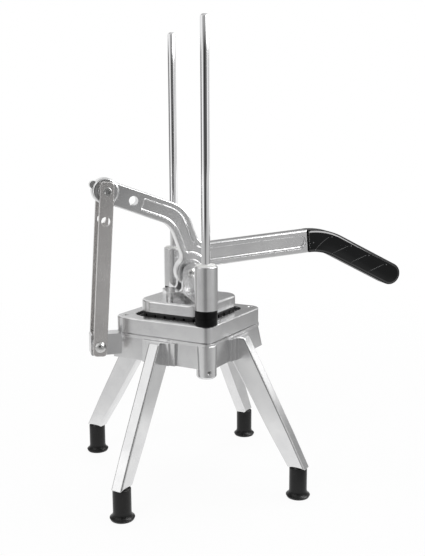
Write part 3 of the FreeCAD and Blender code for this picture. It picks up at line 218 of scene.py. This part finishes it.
RING_TALL = [(0, 0.5), (12, 0.28), (30, 0.22), (46, 0.28), (56, 1.0), (86, 1.0), (94, 0.45), (116, 0.40),
             (122, 0.95), (146, 0.95), (156, 0.10), (184, 0.14), (190, 0.05), (218, 0.03), (222, 0.34),
             (240, 0.42), (246, 1.0), (268, 1.2), (274, 0.26), (326, 0.26), (336, 0.90), (350, 0.90)]
RING_UPPER = [(0, 0.8), (70, 0.9), (78, 8.0), (118, 8.0), (124, 6.0), (156, 6.0), (166, 1.0), (172, 0.4),
              (240, 0.4), (250, 1.0), (350, 0.9)]
RING_LID = [(0, 0.55), (90, 0.7), (180, 0.7), (270, 0.55)]
RING_BANDS = [(RING_LOW, RING_SKIRT_Z, RING_SKIRT_TOP_Z), (RING_HIGH, RING_LOW_Z, RING_HIGH_Z),
              (RING_TALL, RING_TALL_LOW_Z, RING_TALL_Z), (RING_UPPER, RING_FADE_Z, RING_TOP_Z),
              (RING_LID, RING_LID_FADE_Z, RING_LID_Z)]


def joint_place(name):
    """Where a hinge stands at rest."""
    found = [joint for joint in frame["joints"] if joint["name"] == name]
    return Vector(found[0]["pos_m"])


def middle_of(node):
    low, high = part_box(node)
    return (low + high) / 2


# Materials


def new_material(name):
    material = bpy.data.materials.new(name)
    material.use_nodes = True
    tree = material.node_tree
    return material, tree, tree.nodes["Principled BSDF"]


def noise(tree, scale, stretch=EVEN, detail=NOISE_DETAIL):
    """Noise in the object's own space; stretch scales it along each axis."""
    place = tree.nodes.new("ShaderNodeTexCoord")
    mapping = tree.nodes.new("ShaderNodeMapping")
    mapping.inputs["Scale"].default_value = stretch
    texture = tree.nodes.new("ShaderNodeTexNoise")
    texture.inputs["Scale"].default_value = scale
    texture.inputs["Detail"].default_value = detail
    texture.inputs["Roughness"].default_value = NOISE_ROUGHNESS
    tree.links.new(place.outputs["Object"], mapping.inputs["Vector"])
    tree.links.new(mapping.outputs["Vector"], texture.inputs["Vector"])
    return texture.outputs["Fac"]


def spread(tree, value, ends):
    """Maps the middle of a noise to a range."""
    span = tree.nodes.new("ShaderNodeMapRange")
    span.inputs["From Min"].default_value = NOISE_LOW
    span.inputs["From Max"].default_value = NOISE_HIGH
    span.inputs["To Min"].default_value, span.inputs["To Max"].default_value = ends
    tree.links.new(value, span.inputs["Value"])
    return span.outputs["Result"]


def tint(tree, value, tones):
    """Colour that wanders between two close tones."""
    ramp = tree.nodes.new("ShaderNodeValToRGB")
    for element, position, tone in zip(ramp.color_ramp.elements, (TINT_LOW, TINT_HIGH), tones):
        element.position = position
        element.color = tone + (1.0,)
    tree.links.new(value, ramp.inputs["Fac"])
    return ramp.outputs["Color"]


def relief(tree, value, shader, height, edge):
    """Grain in relief, and edges broken by a small radius."""
    node = tree.nodes.new("ShaderNodeBump")
    node.inputs["Distance"].default_value = height
    tree.links.new(value, node.inputs["Height"])
    if edge > 0:
        broken = tree.nodes.new("ShaderNodeBevel")
        broken.samples = EDGE_SAMPLES
        broken.inputs["Radius"].default_value = edge
        tree.links.new(broken.outputs["Normal"], node.inputs["Normal"])
    tree.links.new(node.outputs["Normal"], shader.inputs["Normal"])


def metal(name, tones, roughness, grain, height, stretch=EVEN, edge=EDGE_SOFT, metallic=1.0):
    """Metal with tonal clouds, a roughness that varies and a fine grain in relief."""
    material, tree, shader = new_material(name)
    shader.inputs["Metallic"].default_value = metallic
    clouds = noise(tree, METAL_CLOUDS)
    fine = noise(tree, grain, stretch, GRAIN_DETAIL)
    tree.links.new(tint(tree, clouds, tones), shader.inputs["Base Color"])
    tree.links.new(spread(tree, fine, roughness), shader.inputs["Roughness"])
    relief(tree, fine, shader, height, edge)
    return material


def moulded(name, tones, roughness, grain, height, shine):
    """Rubber or plastic with a faint surface grain."""
    material, tree, shader = new_material(name)
    shader.inputs["Specular IOR Level"].default_value = shine
    clouds = noise(tree, MOULDED_CLOUDS)
    fine = noise(tree, grain)
    tree.links.new(tint(tree, clouds, tones), shader.inputs["Base Color"])
    tree.links.new(spread(tree, fine, roughness), shader.inputs["Roughness"])
    relief(tree, fine, shader, height, 0.0)
    return material


def all_materials():
    made = {name: metal(name, **look) for name, look in METALS.items()}
    made.update({name: moulded(name, **look) for name, look in MOULDED.items()})
    return made


def paint(thing, material):
    if thing.material_slots:
        for holder in thing.material_slots:
            holder.material = material
    else:
        thing.data.materials.append(material)


# Meshes


def add_mesh(name, build, smooth_angle=SMOOTH_ANGLE):
    """New object from a bmesh, smooth except across edges sharper than the angle."""
    mesh = bpy.data.meshes.new(name)
    build.to_mesh(mesh)
    build.free()
    thing = bpy.data.objects.new(name, mesh)
    bpy.context.scene.collection.objects.link(thing)
    mesh.polygons.foreach_set("use_smooth", [True] * len(mesh.polygons))
    mesh.set_sharp_from_angle(angle=math.radians(smooth_angle))
    return thing


def adopt(thing, node, look=None):
    """Puts a modelled piece in a CAD node's place, on its body and with its finish."""
    record = frame["record"]
    body = [name for name, nodes in record["behaviour"]["bodies"].items() if node in nodes][0]
    slot_name = [part["material_slot"] for part in record["subparts"] if part["node"] == node][0]
    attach(thing, body)
    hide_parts(node)
    paint(thing, MATERIALS[look or slot_name])
    return thing


def arc_points(centre, radius, ends, steps):
    """Points of an arc in a (radius, z) plane, between two angles."""
    start, end = ends
    turns = [math.radians(start + (end - start) * k / steps) for k in range(steps + 1)]
    return [(centre[0] + radius * math.cos(t), centre[1] + radius * math.sin(t)) for t in turns]


def ring_of_faces(build, here, there):
    """Closes the gap between two loops of as many vertices, and returns its faces."""
    count = len(here)
    return [build.faces.new((here[k], here[(k + 1) % count], there[(k + 1) % count], there[k]))
            for k in range(count)]


def lathe(name, profile, centre):
    """Turns a closed outline of (radius, z) points about a vertical line at centre."""
    build = bmesh.new()
    rows = []
    for k in range(ROUND_STEPS):
        turn = 2 * math.pi * k / ROUND_STEPS
        rows.append([build.verts.new((centre.x + r * math.cos(turn), centre.y + r * math.sin(turn), z))
                     for r, z in profile])
    for here, there in zip(rows, rows[1:] + rows[:1]):
        ring_of_faces(build, here, there)
    bmesh.ops.remove_doubles(build, verts=build.verts, dist=MERGE_DISTANCE)
    bmesh.ops.dissolve_degenerate(build, dist=MERGE_DISTANCE, edges=build.edges)
    bmesh.ops.recalc_face_normals(build, faces=build.faces)
    return add_mesh(name, build)


def rubber_foot(node):
    """Flared cup with a thin rim, a hollow-curved neck and a rounded sole."""
    low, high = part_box(node)
    bore = FOOT_TUBE_R - FOOT_TUBE_WALL
    seat = high.z - FOOT_SEAT_DEPTH
    profile = [(0.0, low.z)]
    profile += arc_points((FOOT_SOLE_R - FOOT_SOLE_EDGE, low.z + FOOT_SOLE_EDGE), FOOT_SOLE_EDGE,
                          FOOT_SOLE_ROUND, EDGE_STEPS)
    profile += arc_points((FOOT_FLANGE_R - FOOT_FLANGE_EDGE, low.z + FOOT_FLANGE_Z), FOOT_FLANGE_EDGE,
                          FOOT_FLANGE_ROUND, EDGE_STEPS)
    profile += arc_points((FOOT_TUBE_R + FOOT_FLARE_R, low.z + FOOT_FLARE_TOP_Z), FOOT_FLARE_R,
                          FOOT_FLARE_ROUND, FLARE_STEPS)
    profile += arc_points((FOOT_TUBE_R - FOOT_TUBE_EDGE, high.z - FOOT_TUBE_EDGE), FOOT_TUBE_EDGE,
                          HIGH_ROUND, EDGE_STEPS)
    profile += [(bore, high.z), (bore, seat), (0.0, seat)]
    adopt(lathe(node + "_cup", profile, middle_of(node)), node)


def bumper(node):
    """Rubber ring with rounded rims and a faint waist line."""
    low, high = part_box(node)
    radius = (high.x - low.x) / 2
    waist = (low.z + high.z) / 2
    profile = arc_points((radius - BUMPER_EDGE, low.z + BUMPER_EDGE), BUMPER_EDGE, LOW_ROUND,
                         BUMPER_EDGE_STEPS)
    profile += [(radius, waist - BUMPER_LINE), (radius - BUMPER_LINE, waist), (radius, waist + BUMPER_LINE)]
    profile += arc_points((radius - BUMPER_EDGE, high.z - BUMPER_EDGE), BUMPER_EDGE, HIGH_ROUND,
                          BUMPER_EDGE_STEPS)
    profile += [(BUMPER_BORE_R, high.z), (BUMPER_BORE_R, low.z)]
    adopt(lathe(node + "_ring", profile, middle_of(node)), node, "black_ring")


def grip_place(run, rise, depth):
    """Point of the grip: run along its centre line, rise above that line, depth across it."""
    pivot = joint_place("lever_swing")
    slope = math.radians(HANDLE_SLOPE)
    bend = math.radians(GRIP_BEND)
    start = Vector((pivot.x + GRIP_START_X, 0.0, pivot.z + GRIP_START_RISE))
    centre = start - GRIP_BEND_R * Vector((-math.sin(slope), 0.0, math.cos(slope)))
    angle = slope - min(run / GRIP_BEND_R, bend)
    up = Vector((-math.sin(angle), 0.0, math.cos(angle)))
    ahead = Vector((math.cos(angle), 0.0, math.sin(angle)))
    past = max(0.0, run - GRIP_BEND_R * bend)
    return centre + up * (GRIP_BEND_R + rise) + ahead * past + Vector((0.0, depth, 0.0))


def grip_outline(inset):
    """(run, rise) pairs along the grip's high edge, drawn in by inset, and the run of its tip."""
    length = GRIP_BEND_R * math.radians(GRIP_BEND) + GRIP_STRAIGHT
    half = GRIP_HALF - inset
    first = inset * GRIP_START_SHARE
    last = length - GRIP_HALF
    pairs = [(first + (last - first) * k / GRIP_STATIONS, half) for k in range(GRIP_STATIONS)]
    turns = [math.radians(90 * k / GRIP_TIP_STEPS) for k in range(GRIP_TIP_STEPS)]
    pairs += [(last + half * math.sin(t), half * math.cos(t)) for t in turns]
    return pairs, last + half


def grip_loop(build, inset, depth):
    """Vertices round the grip's outline at one depth: low edge, tip and high edge."""
    pairs, tip = grip_outline(inset)
    low = [build.verts.new(grip_place(run, -rise, depth)) for run, rise in pairs]
    end = build.verts.new(grip_place(tip, 0.0, depth))
    high = [build.verts.new(grip_place(run, rise, depth)) for run, rise in pairs]
    return low, end, high


def grip_slab(build):
    """Bent slab with rounded and bevelled edges and a sunk panel on each face."""
    side = [(inset, GRIP_HALF_DEPTH - sunk) for inset, sunk in GRIP_SIDE]
    section = [(inset, -depth) for inset, depth in reversed(side)] + side
    loops = [grip_loop(build, inset, depth) for inset, depth in section]
    rows = [low + [end] + high[::-1] for low, end, high in loops]
    for first, second, here, there in zip(section, section[1:], rows, rows[1:]):
        for face in ring_of_faces(build, here, there):
            face.material_index = POLISHED_INDEX if {first[0], second[0]} == GRIP_BEVEL else 0
    for low, end, high in (loops[0], loops[-1]):
        for k in range(len(low) - 1):
            build.faces.new((low[k], low[k + 1], high[k + 1], high[k]))
        build.faces.new((low[-1], end, high[-1]))


def grip_rib(build, run, side):
    """Raised line that leans along the panel, half sunk in it."""
    depth = side * (GRIP_HALF_DEPTH - GRIP_PANEL_DEPTH)
    climb = RIB_HIGH - RIB_LOW
    ahead = Vector((RIB_RUN, climb)).normalized()
    loops = []
    for k in range(RIB_STEPS + 1):
        share = k / RIB_STEPS
        size = RIB_R * math.sin(math.pi * min(max(share, RIB_END), 1 - RIB_END)) ** RIB_TAPER
        loop = []
        for m in range(RIB_AROUND):
            turn = 2 * math.pi * m / RIB_AROUND
            across = size * math.cos(turn)
            loop.append(build.verts.new(grip_place(run + RIB_RUN * share - ahead.y * across,
                                                   RIB_LOW + climb * share + ahead.x * across,
                                                   depth + size * math.sin(turn))))
        loops.append(loop)
    for here, there in zip(loops, loops[1:]):
        ring_of_faces(build, here, there)
    build.faces.new(loops[0])
    build.faces.new(loops[-1])


def grip_stud(build, run, rise, side):
    """Small domed stud on the panel."""
    depth = side * (GRIP_HALF_DEPTH - GRIP_PANEL_DEPTH)
    place = Matrix.Translation(grip_place(run, rise, depth))
    bmesh.ops.create_uvsphere(build, u_segments=STUD_SEGMENTS, v_segments=STUD_RINGS, radius=STUD_R,
                              matrix=place)


def grip_trim(build):
    """On both panels: ribs with a stud past each, two low studs and one before the first rib."""
    for side in (-1, 1):
        for k in range(RIB_COUNT):
            run = RIB_START + RIB_PITCH * k
            grip_rib(build, run, side)
            grip_stud(build, run + RIB_RUN + STUD_PAST_RIB, RIB_HIGH + STUD_R, side)
        for k in range(LOW_STUD_COUNT):
            grip_stud(build, RIB_START + RIB_PITCH * k - STUD_R, RIB_LOW - STUD_R, side)
        grip_stud(build, RIB_START - LONE_STUD_BACK, LONE_STUD_RISE, side)


def grip():
    """Moulded grip: the slab, and its ribs and studs in a lighter colour that paints their highlights."""
    build = bmesh.new()
    grip_slab(build)
    plain = len(build.faces)
    grip_trim(build)
    build.faces.ensure_lookup_table()
    # the ribs and studs take the lighter colour that paints their highlights
    for face in build.faces[plain:]:
        face.material_index = PAINTED_GLINT_INDEX
    bmesh.ops.recalc_face_normals(build, faces=build.faces)
    sleeve = adopt(add_mesh("grip_sleeve", build, GRIP_SMOOTH_ANGLE), "grip")
    sleeve.data.materials.append(MATERIALS["painted_glint_grip"])
    sleeve.data.materials.append(MATERIALS["polished_grip"])


# Studio


def add_camera():
    azimuth, down = math.radians(CAMERA_AZIMUTH), math.radians(CAMERA_DOWN)
    ahead = Vector((math.sin(azimuth) * math.cos(down), math.cos(azimuth) * math.cos(down), -math.sin(down)))
    right = ahead.cross(Vector((0.0, 0.0, 1.0))).normalized()
    up = right.cross(ahead)
    roll = math.radians(CAMERA_ROLL)
    turned_right = right * math.cos(roll) + up * math.sin(roll)
    turned_up = up * math.cos(roll) - right * math.sin(roll)
    lens = bpy.data.cameras.new("camera")
    lens.sensor_fit = "VERTICAL"
    lens.sensor_height = CAMERA_SENSOR
    lens.lens = CAMERA_LENS
    camera = bpy.data.objects.new("camera", lens)
    bpy.context.scene.collection.objects.link(camera)
    turn = Matrix((turned_right, turned_up, -ahead)).transposed()
    camera.matrix_world = Matrix.Translation(joint_place("lever_swing") + CAMERA_FROM_PIVOT) @ turn.to_4x4()
    bpy.context.scene.camera = camera


def seen_or_mirrored(tree):
    """1 for rays from the camera and for those seen in a mirror or through glass."""
    path = tree.nodes.new("ShaderNodeLightPath")
    sums = path.outputs["Is Camera Ray"]
    for ray in ("Is Glossy Ray", "Is Transmission Ray"):
        add = tree.nodes.new("ShaderNodeMath")
        add.operation = "ADD"
        add.use_clamp = True
        tree.links.new(sums, add.inputs[0])
        tree.links.new(path.outputs[ray], add.inputs[1])
        sums = add.outputs[0]
    return sums


def add_world():
    """White to the eye and in mirrors, dimmer as a light."""
    world = bpy.data.worlds.new("studio")
    bpy.context.scene.world = world
    world.use_nodes = True
    tree = world.node_tree
    tree.nodes.clear()
    soft = tree.nodes.new("ShaderNodeBackground")
    soft.inputs["Color"].default_value = WHITE
    soft.inputs["Strength"].default_value = AMBIENT
    white = tree.nodes.new("ShaderNodeBackground")
    white.inputs["Color"].default_value = WHITE
    white.inputs["Strength"].default_value = 1.0
    mix = tree.nodes.new("ShaderNodeMixShader")
    out = tree.nodes.new("ShaderNodeOutputWorld")
    tree.links.new(seen_or_mirrored(tree), mix.inputs["Fac"])
    tree.links.new(soft.outputs[0], mix.inputs[1])
    tree.links.new(white.outputs[0], mix.inputs[2])
    tree.links.new(mix.outputs[0], out.inputs["Surface"])


def floor_mesh():
    build = bmesh.new()
    corners = [(-1, -1), (1, -1), (1, 1), (-1, 1)]
    build.faces.new([build.verts.new((FLOOR_HALF * x, FLOOR_HALF * y, 0.0)) for x, y in corners])
    return add_mesh("floor", build)


def add_floor():
    """Pale floor that keeps the object's shadow near it and turns to plain white further out."""
    floor = floor_mesh()
    material, tree, shader = new_material("floor")
    shader.inputs["Base Color"].default_value = FLOOR_GREY
    shader.inputs["Roughness"].default_value = FLOOR_ROUGHNESS
    emission = tree.nodes.new("ShaderNodeEmission")
    emission.inputs["Strength"].default_value = 1.0
    place = tree.nodes.new("ShaderNodeTexCoord")
    far = tree.nodes.new("ShaderNodeVectorMath")
    far.operation = "LENGTH"
    tree.links.new(place.outputs["Object"], far.inputs[0])
    fade = tree.nodes.new("ShaderNodeMapRange")
    fade.inputs["From Min"].default_value = FLOOR_NEAR
    fade.inputs["From Max"].default_value = FLOOR_FAR
    fade.inputs["To Min"].default_value = FLOOR_GLOW
    tree.links.new(far.outputs["Value"], fade.inputs["Value"])
    share = tree.nodes.new("ShaderNodeMath")
    share.operation = "MULTIPLY"
    tree.links.new(fade.outputs["Result"], share.inputs[1])
    mix = tree.nodes.new("ShaderNodeMixShader")
    tree.links.new(seen_or_mirrored(tree), share.inputs[0])
    tree.links.new(share.outputs[0], mix.inputs["Fac"])
    tree.links.new(shader.outputs[0], mix.inputs[1])
    tree.links.new(emission.outputs[0], mix.inputs[2])
    tree.links.new(mix.outputs[0], tree.nodes["Material Output"].inputs["Surface"])
    paint(floor, material)


def blend_by(tree, value, start, end, first, second):
    """Colour that goes from first to second as value goes from start to end."""
    share = tree.nodes.new("ShaderNodeMapRange")
    share.inputs["From Min"].default_value = start
    share.inputs["From Max"].default_value = end
    tree.links.new(value, share.inputs["Value"])
    mix = tree.nodes.new("ShaderNodeMix")
    mix.data_type = "RGBA"
    tree.links.new(share.outputs["Result"], mix.inputs["Factor"])
    tree.links.new(first, mix.inputs["A"])
    tree.links.new(second, mix.inputs["B"])
    return mix.outputs["Result"]


def card_band(tree, around, levels):
    """Grey that follows the azimuth through the given levels."""
    ramp = tree.nodes.new("ShaderNodeValToRGB")
    # The gradient runs from 0 to 1 against the azimuth, from -X round to -X again
    stops = sorted((((90 - azimuth) % 360 / 360 + 0.5) % 1.0, level) for azimuth, level in levels)
    elements = ramp.color_ramp.elements
    while len(elements) < len(stops):
        elements.new(0.5)
    for element, (position, level) in zip(elements, stops):
        element.position = position
        element.color = tuple([level / RING_STRENGTH] * 3) + (1.0,)
    tree.links.new(around, ramp.inputs["Fac"])
    return ramp.outputs["Color"]


def reflector_mesh():
    build = bmesh.new()
    centre = middle_of("base_casting")
    turns = [2 * math.pi * k / RING_STEPS for k in range(RING_STEPS)]
    rows = []
    for radius, height in ((RING_SKIRT_R, RING_SKIRT_Z), (RING_R, RING_SKIRT_Z), (RING_R, RING_LID_Z),
                           (RING_LID_R, RING_LID_Z)):
        rows.append([build.verts.new((centre.x + radius * math.cos(turn), centre.y + radius * math.sin(turn),
                                      height)) for turn in turns])
    for here, there in zip(rows, rows[1:]):
        ring_of_faces(build, here, there)
    return add_mesh("reflector", build)


def add_reflector():
    """Ring of card whose grey changes with azimuth and height, seen only in reflections."""
    ring = reflector_mesh()
    material, tree, _ = new_material("reflector")
    place = tree.nodes.new("ShaderNodeTexCoord")
    around = tree.nodes.new("ShaderNodeTexGradient")
    around.gradient_type = "RADIAL"
    tree.links.new(place.outputs["Object"], around.inputs["Vector"])
    height = tree.nodes.new("ShaderNodeSeparateXYZ")
    tree.links.new(place.outputs["Object"], height.inputs[0])
    grey = card_band(tree, around.outputs["Fac"], RING_FLOOR)
    for levels, start, end in RING_BANDS:
        band = card_band(tree, around.outputs["Fac"], levels)
        grey = blend_by(tree, height.outputs["Z"], start, end, grey, band)
    emission = tree.nodes.new("ShaderNodeEmission")
    emission.inputs["Strength"].default_value = RING_STRENGTH
    tree.links.new(grey, emission.inputs["Color"])
    tree.links.new(emission.outputs[0], tree.nodes["Material Output"].inputs["Surface"])
    paint(ring, material)
    ring.visible_camera = False
    ring.visible_diffuse = False
    ring.visible_shadow = False
    ring.visible_transmission = False


def add_lamp(name, place, size, power):
    """Square of light that faces the blade frame."""
    lamp = bpy.data.lights.new(name, "AREA")
    lamp.shape = "RECTANGLE"
    lamp.size, lamp.size_y = size
    lamp.energy = power
    holder = bpy.data.objects.new(name, lamp)
    bpy.context.scene.collection.objects.link(holder)
    aim = middle_of("blade_frame") - Vector(place)
    holder.location = place
    holder.rotation_euler = aim.to_track_quat("-Z", "Y").to_euler()


def add_studio():
    add_world()
    add_floor()
    add_reflector()
    for name, lamp in LAMPS.items():
        add_lamp(name, **lamp)


# Dressing the part


def dress():
    for part in frame["record"]["subparts"]:
        paint(frame["nodes"][part["node"]], MATERIALS[part["material_slot"]])
    for node in frame["nodes"]:
        if node.startswith("rubber_foot"):
            rubber_foot(node)
        if node.startswith("bumper"):
            bumper(node)
    grip()


MATERIALS = all_materials()
dress()
add_camera()
add_studio()
bpy.context.scene.view_settings.view_transform = "Standard"
